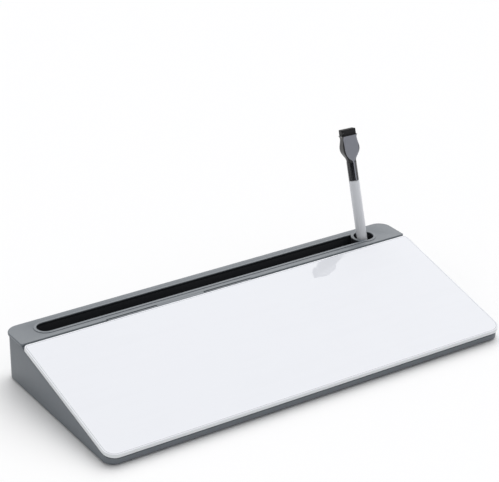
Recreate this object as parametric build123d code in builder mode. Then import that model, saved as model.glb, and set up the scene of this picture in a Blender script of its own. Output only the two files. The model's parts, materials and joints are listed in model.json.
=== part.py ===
"""Desktop glass whiteboard: wedge tray with a hinged glass lid, a rear deck with a slot and a marker.

Millimetres. X runs along the board, -Y is the side that faces the user and +Z is up.
The origin is at the middle of the footprint, on the table under the rubber feet.
"""

from build123d import *
from math import cos, hypot, radians, sin, tan
import os

os.makedirs("parts", exist_ok=True)

# Lid: glass with its white backing, tilted about the X direction
lid_tilt = 13.4
glass_length = 400.0
glass_depth = 148.0
glass_thickness = 3.5
backing_thickness = 0.5
backing_inset = 0.8
glass_front_radius = 11.0
glass_rear_radius = 4.0
glass_arris = 0.5
lid_front_height = 6.7

# Hinge: three barrels in a row, the middle one on the deck
barrel_radius = 1.5
barrel_glass_gap = 0.3
barrel_clearance = 0.4
pin_radius = 0.75
pin_clearance = 0.05
pin_end_inset = 0.8
leaf_left_inset = 28.5
leaf_length = 259.2
leaf_depth = 29.0
leaf_thickness = 1.4
leaf_rear_gap = 0.5
leaf_corner_radius = 2.5
leaf_notch_gap = 0.8
leaf_play = 0.4
tape_thickness = 0.4
tape_inset = 1.5
knuckle_inset = 53.7
knuckle_length = 48.4
knuckle_gap = 0.6
knuckle_count = 3

# Rear deck: its depth, and its height above the hinge pin
deck_depth = 34.1
deck_front_step = 0.6
deck_rise = 1.625
deck_plate = 2.2
deck_overhang = 0.2
deck_riser = 2.0
deck_edge_fillet = 0.8
deck_front_radius = 1.8
deck_seam = 0.4
rail_depth = 5.0
rail_seat = 2.0
ledge_lid_gap = 0.8
skirt_thickness = 1.4
skirt_height = 3.0
fit_gap = 0.15

# Tray
foot_stand = 0.8
tray_overhang = 0.8
tray_rear_inset = 0.4
tray_wall = 2.2
tray_floor = 2.0
tray_front_radius = 10.5
tray_rear_radius = 12.0
lid_seat_gap = 1.0
tray_bottom_fillet = 0.8
tray_pocket_radius = 3.0
rear_wall_thickness = 2.2
cut_margin = 5.0

# Dividers and the ribs of the front compartments
divider_thickness = 1.8
divider_lid_gap = 1.3
divider_top_fillet = 0.45
front_bay_left = 59.6
front_bay_right = 55.6
right_bay_width = 84.5
middle_bay_width = 154.5
rib_width = 1.2
rib_height = 0.6
rib_pitch = 11.5
rib_count = 4
rib_front_gap = 6.1
rib_end_gap = 4.0

# Slot, its rim and black trough, and the well of the marker at its right end
slot_setback = 16.5
slot_half_width = 8.4
slot_left_inset = 23.4
hole_right_inset = 34.7
hole_radius = 9.4
rim_height = 0.6
rim_fillet = 0.4
trough_depth = 12.0
liner_wall = 1.2
liner_flange = 1.8
cup_depth = 6.5

# Bumpers under the lid and feet under the tray
bumper_inset = 6.0
bumper_front_inset = 16.5
bumper_radius = 4.7
bumper_play = 0.1
bumper_fillet = 0.35
foot_radius = 6.0
foot_sink = 1.0
foot_fillet = 0.4
foot_end_inset = 28.0
foot_front_inset = 13.3
foot_rear_inset = 14.5

# Screws that hold the deck down from under the tray
screw_end_inset = 12.0
screw_front_setback = 8.1
screw_rear_inset = 10.0
screw_radius = 1.45
screw_head_radius = 2.8
screw_head_height = 1.8
screw_head_sink = 0.8
screw_slot_length = 3.4
screw_slot_width = 0.6
screw_slot_depth = 0.9
screw_length = 14.0
screw_play = 0.05
boss_radius = 4.4
boss_height = 6.0
post_radius = 3.4

# Marker: it leans back in a slanted socket, turned a little about its own axis
marker_radius = 4.9
marker_wall = 0.8
marker_lean = 15.7
marker_turn = 7.0
marker_set_x = -2.2
marker_set_y = -0.35
marker_socket_depth = 25.0
marker_socket_play = 0.4
marker_floor_gap = 0.3
socket_overlap = 2.0
marker_play = 0.05
barrel_end = 78.8
shoulder_thickness = 1.6
neck_radius = 4.0
neck_length = 9.5
plug_length = 5.0
plug_radius = 4.6
plug_chamfer = 0.8
plug_stem_length = 7.5
reservoir_radius = 3.7
nib_radius = 1.9
nib_tip_radius = 0.95
nib_reach = 13.0
nib_taper = 3.0
stem_overlap = 9.0
holder_flange = 1.5
holder_shoulder_radius = 3.4
holder_cone = 7.0

# Marker cap, measured along the marker, and its eraser: the head is as thick as the neck
cap_gap = 0.5
cap_radius = 4.7
cap_round_flat = 0.1
cap_bore_gap = 0.1
cap_nib_gap = 2.0
cap_nib_play = 0.6
cap_holder_gap = 0.5
cap_neck_length = 17.0
cap_flare_length = 5.2
cap_shoulder_length = 6.3
cap_face_length = 4.2
cap_taper_length = 10.1
cap_flare_width = 11.4
cap_head_width = 16.6
cap_top_width = 16.4
cap_flare_corner = 3.6
cap_head_corner = 1.3
cap_length = cap_neck_length + cap_flare_length + cap_shoulder_length + cap_face_length + cap_taper_length
cap_ridge_width = 1.4
cap_ridge_height = 0.3
felt_width = 14.6
felt_thickness = 7.1
felt_sink = 1.5
felt_height = 5.6
felt_fillet = 0.8

# Lid and hinge: v runs up the underside of the lid from its front edge, w stands square on it.
# The marker reaches back past the deck, and the whole depth with it is centred on the origin.
tilt = radians(lid_tilt)
lid_thickness = glass_thickness + backing_thickness
half_glass = glass_length / 2
axis_v = glass_depth + barrel_glass_gap + barrel_radius
axis_w = barrel_radius
glass_top_reach = (lid_thickness - glass_arris) * sin(tilt)
axis_reach = axis_v * cos(tilt) - axis_w * sin(tilt)
board_depth = glass_top_reach + axis_reach + deck_front_step + deck_depth
lean = radians(marker_lean)
turn = radians(marker_turn)
marker_length = barrel_end + cap_gap + cap_length + felt_height
felt_corner = felt_thickness / 2 * cos(turn) + felt_width / 2 * sin(turn)
felt_slant = (cos(turn) + sin(turn)) * cos(lean)
felt_round = felt_fillet * (hypot(sin(lean), felt_slant) - felt_slant)
marker_rise = (marker_length - felt_fillet - marker_socket_depth) * sin(lean) + felt_corner * cos(lean)
marker_reach = slot_setback + marker_set_y + marker_rise + felt_round - deck_depth
back_y = (board_depth - marker_reach) / 2
lid_front_y = back_y + glass_top_reach - board_depth
axis_y = lid_front_y + axis_reach
axis_z = lid_front_height + axis_v * sin(tilt) + axis_w * cos(tilt)
hinge_back_y = axis_y + barrel_radius + barrel_clearance
leaf_left_x = leaf_left_inset - half_glass
leaf_low = -tape_thickness - leaf_thickness
leaf_mid_x = leaf_left_x + leaf_length / 2
leaf_back_v = glass_depth - leaf_rear_gap
knuckle_step = knuckle_length + knuckle_gap
hinge_left_x = leaf_left_x + knuckle_inset
hinge_length = knuckle_count * knuckle_step - knuckle_gap

# Deck and tray
deck_front_y = axis_y + deck_front_step
deck_top_z = axis_z + deck_rise
deck_under_z = deck_top_z - deck_plate
deck_half = half_glass + deck_overhang
tray_half = half_glass - tray_overhang
tray_front_y = lid_front_y + tray_overhang
tray_back_y = back_y - tray_rear_inset
tray_inner_half = tray_half - tray_wall
tray_inner_front = tray_front_y + tray_wall
tray_inner_back = tray_back_y - tray_wall
tray_top_z = deck_under_z - deck_seam
floor_z = foot_stand + tray_floor
rear_wall_face_y = deck_front_y - rail_depth
rear_wall_back_y = rear_wall_face_y + rear_wall_thickness
wall_end_y = deck_front_y - fit_gap
rail_half = tray_inner_half - fit_gap
post_foot_z = floor_z + boss_height

# Dividers
long_divider_left_y = tray_inner_front + front_bay_left
long_divider_right_y = tray_inner_front + front_bay_right
full_divider_x = tray_inner_half - right_bay_width
short_divider_x = full_divider_x - middle_bay_width

# Slot and well
slot_y = deck_front_y + slot_setback
hole_x = half_glass - hole_right_inset
slot_left_x = slot_left_inset - half_glass
slot_end_x = slot_left_x + slot_half_width
cup_radius = hole_radius + liner_wall
trough_end_radius = cup_radius + fit_gap
ring_radius = trough_end_radius + liner_wall
rim_width = ring_radius - hole_radius
rim_top_z = deck_top_z + rim_height
cup_floor_z = deck_under_z - cup_depth

# Screws and feet
screw_places = [
    (side * (half_glass - screw_end_inset), y)
    for side in (-1, 1)
    for y in (deck_front_y + screw_front_setback, back_y - screw_rear_inset)
]
foot_x = half_glass - foot_end_inset
foot_front_y = tray_front_y + foot_front_inset
foot_rear_y = back_y - foot_rear_inset
foot_places = {
    "foot_front_left": (-foot_x, foot_front_y),
    "foot_front_right": (foot_x, foot_front_y),
    "foot_rear_left": (-foot_x, foot_rear_y),
    "foot_rear_right": (foot_x, foot_rear_y),
}

# Marker: s runs along it from its lower end
marker_dir = (0, sin(lean), cos(lean))
marker_foot = (
    hole_x + marker_set_x,
    slot_y + marker_set_y - marker_socket_depth * sin(lean),
    rim_top_z - marker_socket_depth * cos(lean),
)
socket_radius = marker_radius + marker_socket_play
socket_top = marker_socket_depth - (rim_top_z - cup_floor_z) / cos(lean) + socket_overlap
barrel_bore = marker_radius - marker_wall
neck_bore = neck_radius - marker_wall
neck_end = barrel_end + neck_length
shoulder_s = barrel_end - shoulder_thickness
plug_stem_end = plug_length + plug_stem_length
nib_tip = neck_end + nib_reach
cap_start = barrel_end + cap_gap
cap_head_start = cap_start + cap_neck_length
cap_head_flare = cap_head_start + cap_flare_length
cap_head_wide = cap_head_flare + cap_shoulder_length
cap_head_full = cap_head_wide + cap_face_length
cap_head_end = cap_head_full + cap_taper_length


def under_lid(y, drop):
    """Height of the plane that lies drop below the underside of the closed lid."""
    return lid_front_height + (y - lid_front_y) * tan(tilt) - drop / cos(tilt)


ledge_z = under_lid(rear_wall_face_y, ledge_lid_gap)
notch_z = under_lid(rear_wall_face_y, leaf_play - leaf_low)
rear_wall_top_z = notch_z - rail_seat
lid_x = (1, 0, 0)
lid_normal = (0, -sin(tilt), cos(tilt))
lid_origin = (0, lid_front_y, lid_front_height)
lid_plane = Plane(origin=lid_origin, x_dir=lid_x, z_dir=lid_normal)
lid_side = Plane(origin=lid_origin, x_dir=(0, cos(tilt), sin(tilt)), z_dir=lid_x)
end_plane = Plane(origin=(0, 0, 0), x_dir=(0, 1, 0), z_dir=(1, 0, 0))
marker_right = (cos(turn), -sin(turn) * cos(lean), sin(turn) * sin(lean))
marker_front = (-sin(turn), -cos(turn) * cos(lean), cos(turn) * sin(lean))
marker_side = Plane(origin=marker_foot, x_dir=marker_right, z_dir=marker_front)
marker_up = Plane(origin=marker_foot, x_dir=marker_right, z_dir=marker_dir)
marker_axis = Axis(marker_foot, marker_dir)


def save(piece, name):
    """Label a finished piece and write it to its own file."""
    piece.part.label = name
    export_step(piece.part, "parts/" + name + ".step")


# Tray: floor, outer walls that follow the lid, and the wall behind the compartments
tray_mid_y = (tray_front_y + tray_back_y) / 2
slope_front_y = tray_front_y - cut_margin
with BuildPart() as base_tray:
    with BuildSketch(Plane.XY.offset(foot_stand)):
        with Locations((0, tray_mid_y)):
            Rectangle(2 * tray_half, tray_back_y - tray_front_y)
        fillet(vertices().group_by(Axis.Y)[0], tray_front_radius)
        fillet(vertices().group_by(Axis.Y)[-1], tray_rear_radius)
    extrude(amount=tray_top_z - foot_stand)
    fillet(faces().sort_by(Axis.Z)[0].edges(), tray_bottom_fillet)
    with BuildSketch(end_plane):
        with BuildLine():
            Polyline(
                (slope_front_y, under_lid(slope_front_y, lid_seat_gap)),
                (wall_end_y, under_lid(wall_end_y, lid_seat_gap)),
                (wall_end_y, tray_top_z + cut_margin),
                (slope_front_y, tray_top_z + cut_margin),
                close=True,
            )
        make_face()
    extrude(amount=half_glass, both=True, mode=Mode.SUBTRACT)
    with BuildSketch(Plane.XY.offset(floor_z)):
        with Locations((0, (tray_inner_front + rear_wall_face_y) / 2)):
            Rectangle(2 * tray_inner_half, rear_wall_face_y - tray_inner_front)
        fillet(vertices().group_by(Axis.Y)[0], tray_front_radius - tray_wall)
        fillet(vertices().group_by(Axis.Y)[-1], tray_pocket_radius)
    extrude(amount=tray_top_z, mode=Mode.SUBTRACT)
    with BuildSketch(Plane.XY.offset(floor_z)):
        with Locations((0, (rear_wall_back_y + tray_inner_back) / 2)):
            Rectangle(2 * tray_inner_half, tray_inner_back - rear_wall_back_y)
        fillet(vertices().group_by(Axis.Y)[0], tray_pocket_radius)
        fillet(vertices().group_by(Axis.Y)[-1], tray_rear_radius - tray_wall)
    extrude(amount=tray_top_z, mode=Mode.SUBTRACT)
    with BuildSketch(Plane.XY.offset(rear_wall_top_z)):
        with Locations((0, (rear_wall_face_y + rear_wall_back_y) / 2)):
            Rectangle(2 * tray_inner_half, rear_wall_thickness + 2 * tray_pocket_radius)
    extrude(amount=tray_top_z, mode=Mode.SUBTRACT)
    for left_x, right_x in (
        (-tray_inner_half, short_divider_x),
        (short_divider_x, full_divider_x),
        (full_divider_x, tray_inner_half),
    ):
        rib_length = right_x - left_x - divider_thickness - 2 * rib_end_gap
        rib_mid_y = tray_inner_front + rib_front_gap + rib_pitch * (rib_count - 1) / 2
        with BuildSketch(Plane.XY.offset(floor_z)):
            with Locations(((left_x + right_x) / 2, rib_mid_y)):
                with GridLocations(0, rib_pitch, 1, rib_count):
                    Rectangle(rib_length, rib_width)
        extrude(amount=rib_height)
    with BuildSketch(Plane.XY.offset(floor_z)):
        with Locations(*screw_places):
            Circle(boss_radius)
    extrude(amount=boss_height)
    with BuildSketch(Plane.XY.offset(foot_stand)):
        with Locations(*foot_places.values()):
            Circle(foot_radius)
    extrude(amount=foot_sink, mode=Mode.SUBTRACT)
    with BuildSketch(Plane.XY.offset(foot_stand)):
        with Locations(*screw_places):
            Circle(screw_head_radius + fit_gap)
    extrude(amount=screw_head_sink + screw_head_height, mode=Mode.SUBTRACT)
    with BuildSketch(Plane.XY.offset(foot_stand)):
        with Locations(*screw_places):
            Circle(screw_radius + screw_play)
    extrude(amount=tray_floor + boss_height, mode=Mode.SUBTRACT)
save(base_tray, "base_tray")

# Dividers: thin plates whose tops follow the lid
for name, left_x, right_x, divider_y in (
    ("divider_long_left", -tray_inner_half, full_divider_x - divider_thickness / 2, long_divider_left_y),
    ("divider_long_right", full_divider_x + divider_thickness / 2, tray_inner_half, long_divider_right_y),
):
    with BuildPart() as long_divider:
        with BuildSketch(Plane.XY.offset(floor_z)):
            with Locations(((left_x + right_x) / 2, divider_y)):
                Rectangle(right_x - left_x, divider_thickness)
        extrude(amount=under_lid(divider_y, divider_lid_gap) - floor_z)
        fillet(edges().filter_by(Axis.X).group_by(Axis.Z)[-1], divider_top_fillet)
    save(long_divider, name)

for name, back_end, divider_x in (
    ("divider_full", rear_wall_face_y, full_divider_x),
    ("divider_short", long_divider_left_y - divider_thickness / 2, short_divider_x),
):
    with BuildPart() as cross_divider:
        with BuildSketch(end_plane.offset(divider_x - divider_thickness / 2)):
            with BuildLine():
                Polyline(
                    (tray_inner_front, floor_z),
                    (back_end, floor_z),
                    (back_end, under_lid(back_end, divider_lid_gap)),
                    (tray_inner_front, under_lid(tray_inner_front, divider_lid_gap)),
                    close=True,
                )
            make_face()
        extrude(amount=divider_thickness)
    save(cross_divider, name)

# Deck: top plate with a rim around its slot and hole, and a front rail on the wall behind the compartments
skirt_front_y = deck_front_y + deck_riser
skirt_back_y = tray_inner_back - fit_gap
with BuildPart() as rear_deck:
    with BuildSketch(Plane.XY.offset(deck_under_z)):
        with Locations((0, (deck_front_y + back_y) / 2)):
            Rectangle(2 * deck_half, back_y - deck_front_y)
        fillet(vertices().group_by(Axis.Y)[-1], tray_rear_radius)
        fillet(vertices().group_by(Axis.Y)[0], deck_front_radius)
    extrude(amount=deck_plate)
    fillet(faces().sort_by(Axis.Z)[-1].edges(), deck_edge_fillet)
    with BuildSketch(Plane.XY.offset(deck_top_z)):
        with Locations(((slot_end_x + hole_x) / 2, slot_y)):
            SlotCenterToCenter(hole_x - slot_end_x, 2 * (slot_half_width + rim_width))
        with Locations((hole_x, slot_y)):
            Circle(ring_radius)
    extrude(amount=rim_height)
    with BuildSketch(Plane.XY.offset(deck_under_z)):
        with Locations(((slot_end_x + hole_x) / 2, slot_y)):
            SlotCenterToCenter(hole_x - slot_end_x, 2 * slot_half_width)
        with Locations((hole_x, slot_y)):
            Circle(ring_radius, mode=Mode.SUBTRACT)
    extrude(amount=deck_plate + rim_height, mode=Mode.SUBTRACT)
    with BuildSketch(Plane.XY.offset(deck_under_z)):
        with Locations((hole_x, slot_y)):
            Circle(hole_radius)
    extrude(amount=deck_plate + rim_height, mode=Mode.SUBTRACT)
    fillet(faces().sort_by(Axis.Z)[-1].outer_wire().edges(), rim_fillet)
    with BuildSketch(end_plane.offset(-rail_half)):
        with BuildLine():
            Polyline(
                (rear_wall_face_y, rear_wall_top_z),
                (skirt_front_y, rear_wall_top_z),
                (skirt_front_y, deck_under_z),
                (deck_front_y, deck_under_z),
                (deck_front_y, ledge_z),
                (rear_wall_face_y, ledge_z),
                close=True,
            )
        make_face()
    extrude(amount=2 * rail_half)
    with BuildSketch(Plane.XY.offset(deck_under_z)):
        with Locations((0, (skirt_front_y + skirt_back_y) / 2)):
            Rectangle(2 * rail_half, skirt_back_y - skirt_front_y)
        fillet(vertices().group_by(Axis.Y)[-1], tray_rear_radius - tray_wall)
        offset(amount=-skirt_thickness, mode=Mode.SUBTRACT)
    extrude(amount=-skirt_height)
    with BuildSketch(Plane.XY.offset(notch_z)):
        with Locations((leaf_mid_x, (rear_wall_face_y + deck_front_y) / 2)):
            Rectangle(leaf_length + 2 * leaf_notch_gap, rail_depth)
    extrude(amount=deck_top_z, mode=Mode.SUBTRACT)
    with BuildSketch(Plane.XY.offset(notch_z)):
        with Locations((hinge_left_x + hinge_length / 2, (rear_wall_face_y + hinge_back_y) / 2)):
            Rectangle(hinge_length + 2 * knuckle_gap, hinge_back_y - rear_wall_face_y)
    extrude(amount=deck_top_z, mode=Mode.SUBTRACT)
    with BuildSketch(end_plane.offset(hinge_left_x + knuckle_step)):
        with Locations((axis_y, axis_z)):
            Circle(barrel_radius)
        with Locations(((axis_y + hinge_back_y) / 2, axis_z)):
            Rectangle(hinge_back_y - axis_y, 2 * barrel_radius)
    extrude(amount=knuckle_length)
    with BuildSketch(end_plane.offset(hinge_left_x)):
        with Locations((axis_y, axis_z)):
            Circle(pin_radius + pin_clearance)
    extrude(amount=hinge_length, mode=Mode.SUBTRACT)
    with BuildSketch(Plane.XY.offset(post_foot_z)):
        with Locations(*screw_places):
            Circle(post_radius)
    extrude(amount=deck_under_z - post_foot_z)
    with BuildSketch(Plane.XY.offset(post_foot_z)):
        with Locations(*screw_places):
            Circle(screw_radius + screw_play)
    extrude(amount=screw_length, mode=Mode.SUBTRACT)
save(rear_deck, "rear_deck")

# Black trough under the slot: body, flange under the deck, then its pocket
trough_mid = ((slot_end_x + hole_x) / 2, slot_y)
trough_span = hole_x - slot_end_x
socket_plane = marker_up.offset(-marker_floor_gap - liner_wall)
socket_reach = socket_top + marker_floor_gap + liner_wall
with BuildPart() as slot_trough:
    with BuildSketch(Plane.XY.offset(deck_under_z - trough_depth - liner_wall)):
        with Locations(trough_mid):
            SlotCenterToCenter(trough_span, 2 * (slot_half_width + liner_wall))
        with Locations((hole_x, slot_y)):
            Circle(trough_end_radius, mode=Mode.SUBTRACT)
    extrude(amount=trough_depth + liner_wall)
    with BuildSketch(Plane.XY.offset(deck_under_z - liner_wall)):
        with Locations(trough_mid):
            SlotCenterToCenter(trough_span, 2 * (slot_half_width + liner_wall + liner_flange))
        with Locations((hole_x, slot_y)):
            Circle(trough_end_radius + liner_flange, mode=Mode.SUBTRACT)
    extrude(amount=liner_wall)
    with BuildSketch(Plane.XY.offset(deck_under_z - trough_depth)):
        with Locations(trough_mid):
            SlotCenterToCenter(trough_span, 2 * slot_half_width)
        with Locations((hole_x, slot_y)):
            Circle(ring_radius, mode=Mode.SUBTRACT)
    extrude(amount=trough_depth, mode=Mode.SUBTRACT)
    with BuildSketch(socket_plane):
        Circle(socket_radius + liner_wall + fit_gap)
    extrude(amount=socket_reach, mode=Mode.SUBTRACT)
save(slot_trough, "slot_trough")

# Round cup under the hole, with the slanted socket that the marker stands in
with BuildPart() as marker_cup:
    with BuildSketch(Plane.XY.offset(cup_floor_z - liner_wall)):
        with Locations((hole_x, slot_y)):
            Circle(cup_radius)
    extrude(amount=cup_depth + liner_wall)
    with BuildSketch(socket_plane):
        Circle(socket_radius + liner_wall)
    extrude(amount=socket_reach)
    with BuildSketch(Plane.XY.offset(cup_floor_z)):
        with Locations((hole_x, slot_y)):
            Circle(hole_radius)
    extrude(amount=cup_depth, mode=Mode.SUBTRACT)
    with BuildSketch(socket_plane.offset(liner_wall)):
        Circle(socket_radius)
    extrude(amount=socket_reach, mode=Mode.SUBTRACT)
save(marker_cup, "marker_cup")

# Rubber feet
for name, place in foot_places.items():
    with BuildPart() as foot:
        with BuildSketch():
            with Locations(place):
                Circle(foot_radius - fit_gap)
        extrude(amount=foot_stand + foot_sink)
        fillet(faces().sort_by(Axis.Z)[0].edges(), foot_fillet)
    save(foot, name)

# Screws, as one group of separate solids
head_z = foot_stand + screw_head_sink
with BuildPart() as deck_screws:
    with BuildSketch(Plane.XY.offset(head_z)):
        with Locations(*screw_places):
            Circle(screw_head_radius)
    extrude(amount=screw_head_height)
    with BuildSketch(Plane.XY.offset(head_z)):
        with Locations(*screw_places):
            Rectangle(screw_slot_length, screw_slot_width)
        with Locations(*screw_places):
            Rectangle(screw_slot_width, screw_slot_length)
    extrude(amount=screw_slot_depth, mode=Mode.SUBTRACT)
    with BuildSketch(Plane.XY.offset(head_z + screw_head_height)):
        with Locations(*screw_places):
            Circle(screw_radius)
    extrude(amount=screw_length)
save(deck_screws, "deck_screws")

# Hinge pin
with BuildPart() as hinge_pin:
    with BuildSketch(end_plane.offset(hinge_left_x + pin_end_inset)):
        with Locations((axis_y, axis_z)):
            Circle(pin_radius)
    extrude(amount=hinge_length - 2 * pin_end_inset)
save(hinge_pin, "hinge_pin")

# Glass
with BuildPart() as glass_panel:
    with BuildSketch(lid_plane.offset(backing_thickness)):
        with Locations((0, glass_depth / 2)):
            Rectangle(glass_length, glass_depth)
        fillet(vertices().group_by(Axis.Y)[0], glass_front_radius)
        fillet(vertices().group_by(Axis.Y)[-1], glass_rear_radius)
    extrude(amount=glass_thickness)
    chamfer(faces().filter_by(lid_plane).sort_by(Axis.Z)[-1].edges(), glass_arris)
save(glass_panel, "glass_panel")

# White backing under the glass
with BuildPart() as white_backing:
    with BuildSketch(lid_plane):
        with Locations((0, glass_depth / 2)):
            Rectangle(glass_length - 2 * backing_inset, glass_depth - 2 * backing_inset)
        fillet(vertices().group_by(Axis.Y)[0], glass_front_radius - backing_inset)
        fillet(vertices().group_by(Axis.Y)[-1], glass_rear_radius - backing_inset)
    extrude(amount=backing_thickness)
save(white_backing, "white_backing")

# Hinge leaf under the lid, with its outer barrels
knuckle_front_v = leaf_back_v - leaf_corner_radius
with BuildPart() as hinge_leaf:
    with BuildSketch(lid_plane.offset(leaf_low)):
        with Locations((leaf_mid_x, leaf_back_v - leaf_depth / 2)):
            Rectangle(leaf_length, leaf_depth)
        fillet(vertices(), leaf_corner_radius)
    extrude(amount=leaf_thickness)
    for knuckle in range(0, knuckle_count, 2):
        with BuildSketch(lid_side.offset(hinge_left_x + knuckle * knuckle_step)):
            with BuildLine():
                Polyline(
                    (knuckle_front_v, leaf_low),
                    (axis_v, leaf_low),
                    (axis_v, axis_w),
                    (axis_v - barrel_radius, axis_w),
                    (axis_v - barrel_radius, -tape_thickness),
                    (knuckle_front_v, -tape_thickness),
                    close=True,
                )
            make_face()
            with Locations((axis_v, axis_w)):
                Circle(barrel_radius)
        extrude(amount=knuckle_length)
    with BuildSketch(lid_side.offset(hinge_left_x)):
        with Locations((axis_v, axis_w)):
            Circle(pin_radius + pin_clearance)
    extrude(amount=hinge_length, mode=Mode.SUBTRACT)
save(hinge_leaf, "hinge_leaf")

# Tape that bonds the leaf to the backing
with BuildPart() as leaf_tape:
    with BuildSketch(lid_plane.offset(-tape_thickness)):
        with Locations((leaf_mid_x, leaf_back_v - leaf_depth / 2)):
            Rectangle(leaf_length - 2 * tape_inset, leaf_depth - 2 * tape_inset)
    extrude(amount=tape_thickness)
save(leaf_tape, "leaf_tape")

# Clear bumpers that land on the side walls
for name, side in (("bumper_left", -1), ("bumper_right", 1)):
    with BuildPart() as bumper:
        with BuildSketch(lid_plane):
            with Locations((side * (half_glass - bumper_inset), bumper_front_inset)):
                Circle(bumper_radius)
        extrude(amount=bumper_play - lid_seat_gap)
        fillet(faces().filter_by(lid_plane).sort_by(Axis.Z)[0].edges(), bumper_fillet)
    save(bumper, name)

# Marker body: barrel with its neck, end plug, ink reservoir, nib holder and nib
with BuildPart() as marker_barrel:
    with BuildSketch(marker_side):
        with BuildLine():
            Polyline(
                (barrel_bore, plug_length),
                (marker_radius, plug_length),
                (marker_radius, barrel_end),
                (neck_radius, barrel_end),
                (neck_radius, neck_end),
                (neck_bore, neck_end),
                (neck_bore, shoulder_s),
                (barrel_bore, shoulder_s),
                close=True,
            )
        make_face()
    revolve(axis=marker_axis)
save(marker_barrel, "marker_barrel")

plug_stem_radius = barrel_bore - marker_play
with BuildPart() as marker_end_plug:
    with BuildSketch(marker_side):
        with BuildLine():
            Polyline(
                (0, 0),
                (plug_radius - plug_chamfer, 0),
                (plug_radius, plug_chamfer),
                (plug_radius, plug_length),
                (plug_stem_radius, plug_length),
                (plug_stem_radius, plug_stem_end),
                (0, plug_stem_end),
                close=True,
            )
        make_face()
    revolve(axis=marker_axis)
save(marker_end_plug, "marker_end_plug")

with BuildPart() as ink_reservoir:
    with BuildSketch(marker_up.offset(plug_stem_end)):
        Circle(reservoir_radius)
    extrude(amount=shoulder_s - plug_stem_end)
save(ink_reservoir, "ink_reservoir")

holder_bore = nib_radius + marker_play
holder_stem_radius = neck_bore - marker_play
holder_shoulder = neck_end + holder_flange
with BuildPart() as marker_nib_holder:
    with BuildSketch(marker_side):
        with BuildLine():
            Polyline(
                (holder_bore, neck_end - stem_overlap),
                (holder_stem_radius, neck_end - stem_overlap),
                (holder_stem_radius, neck_end),
                (neck_radius, neck_end),
                (neck_radius, holder_shoulder),
                (holder_shoulder_radius, holder_shoulder),
                (holder_bore + marker_wall, holder_shoulder + holder_cone),
                (holder_bore, holder_shoulder + holder_cone),
                close=True,
            )
        make_face()
    revolve(axis=marker_axis)
save(marker_nib_holder, "marker_nib_holder")

with BuildPart() as marker_nib:
    with BuildSketch(marker_side):
        with BuildLine():
            Polyline(
                (0, shoulder_s),
                (nib_radius, shoulder_s),
                (nib_radius, nib_tip - nib_taper),
                (nib_tip_radius, nib_tip),
                (0, nib_tip),
                close=True,
            )
        make_face()
    revolve(axis=marker_axis)
save(marker_nib, "marker_nib")

# Cap: round neck that widens into a flat head with an eraser in its end
cap_sections = (
    (cap_head_start, 2 * cap_radius, cap_radius - cap_round_flat),
    (cap_head_flare, cap_flare_width, cap_flare_corner),
    (cap_head_wide, cap_head_width, cap_head_corner),
    (cap_head_full, cap_head_width, cap_head_corner),
    (cap_head_end, cap_top_width, cap_head_corner),
)
with BuildPart() as marker_cap:
    with BuildSketch(marker_up.offset(cap_start)):
        Circle(cap_radius)
    extrude(amount=cap_neck_length)
    for station, width, corner in cap_sections:
        with BuildSketch(marker_up.offset(station)):
            RectangleRounded(width, 2 * cap_radius, corner)
    loft()
    with BuildSketch(marker_up.offset(cap_start)):
        with Locations((0, -cap_radius)):
            Rectangle(cap_ridge_width, 2 * cap_ridge_height)
    extrude(amount=cap_neck_length)
    with BuildSketch(marker_up.offset(cap_start)):
        Circle(neck_radius + cap_bore_gap)
    extrude(amount=holder_shoulder + holder_cone + cap_holder_gap - cap_start, mode=Mode.SUBTRACT)
    with BuildSketch(marker_up.offset(cap_start)):
        Circle(nib_radius + cap_nib_play)
    extrude(amount=nib_tip + cap_nib_gap - cap_start, mode=Mode.SUBTRACT)
    with BuildSketch(marker_up.offset(cap_head_end)):
        Rectangle(felt_width, felt_thickness)
    extrude(amount=-felt_sink, mode=Mode.SUBTRACT)
save(marker_cap, "marker_cap")

with BuildPart() as eraser_felt:
    with BuildSketch(marker_up.offset(cap_head_end - felt_sink)):
        Rectangle(felt_width, felt_thickness)
    extrude(amount=felt_sink + felt_height)
    fillet(faces().sort_by(marker_axis)[-1].edges(), felt_fillet)
save(eraser_felt, "eraser_felt")
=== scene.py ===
"""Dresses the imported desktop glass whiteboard: finishes, fine detail, studio and camera.

Metres throughout. X runs along the board, -Y faces the user and +Z is up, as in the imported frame.
"""

import json
import logging
from dataclasses import dataclass, field
from enum import Enum
from math import cos, hypot, radians, sin
from typing import Callable, Dict, List, Sequence, Tuple, Union

import bmesh
import bpy
from mathutils import Matrix, Vector


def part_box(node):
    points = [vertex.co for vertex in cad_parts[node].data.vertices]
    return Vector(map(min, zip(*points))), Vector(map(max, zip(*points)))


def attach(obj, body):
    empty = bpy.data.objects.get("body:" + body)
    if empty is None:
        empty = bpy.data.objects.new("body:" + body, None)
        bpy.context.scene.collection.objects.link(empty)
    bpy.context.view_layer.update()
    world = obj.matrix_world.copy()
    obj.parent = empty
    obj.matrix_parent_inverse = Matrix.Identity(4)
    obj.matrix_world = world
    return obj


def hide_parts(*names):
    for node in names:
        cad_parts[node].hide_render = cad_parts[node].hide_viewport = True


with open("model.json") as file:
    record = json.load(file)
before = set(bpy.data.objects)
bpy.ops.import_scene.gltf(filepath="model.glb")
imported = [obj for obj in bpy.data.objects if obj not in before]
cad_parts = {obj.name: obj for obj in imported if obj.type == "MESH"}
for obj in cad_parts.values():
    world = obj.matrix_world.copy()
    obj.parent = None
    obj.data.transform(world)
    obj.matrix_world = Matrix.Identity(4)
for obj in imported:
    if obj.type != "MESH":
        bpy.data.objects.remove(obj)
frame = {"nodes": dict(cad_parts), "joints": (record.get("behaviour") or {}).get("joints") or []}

LOG = logging.getLogger("whiteboard")
Colour = Tuple[float, float, float]

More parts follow.
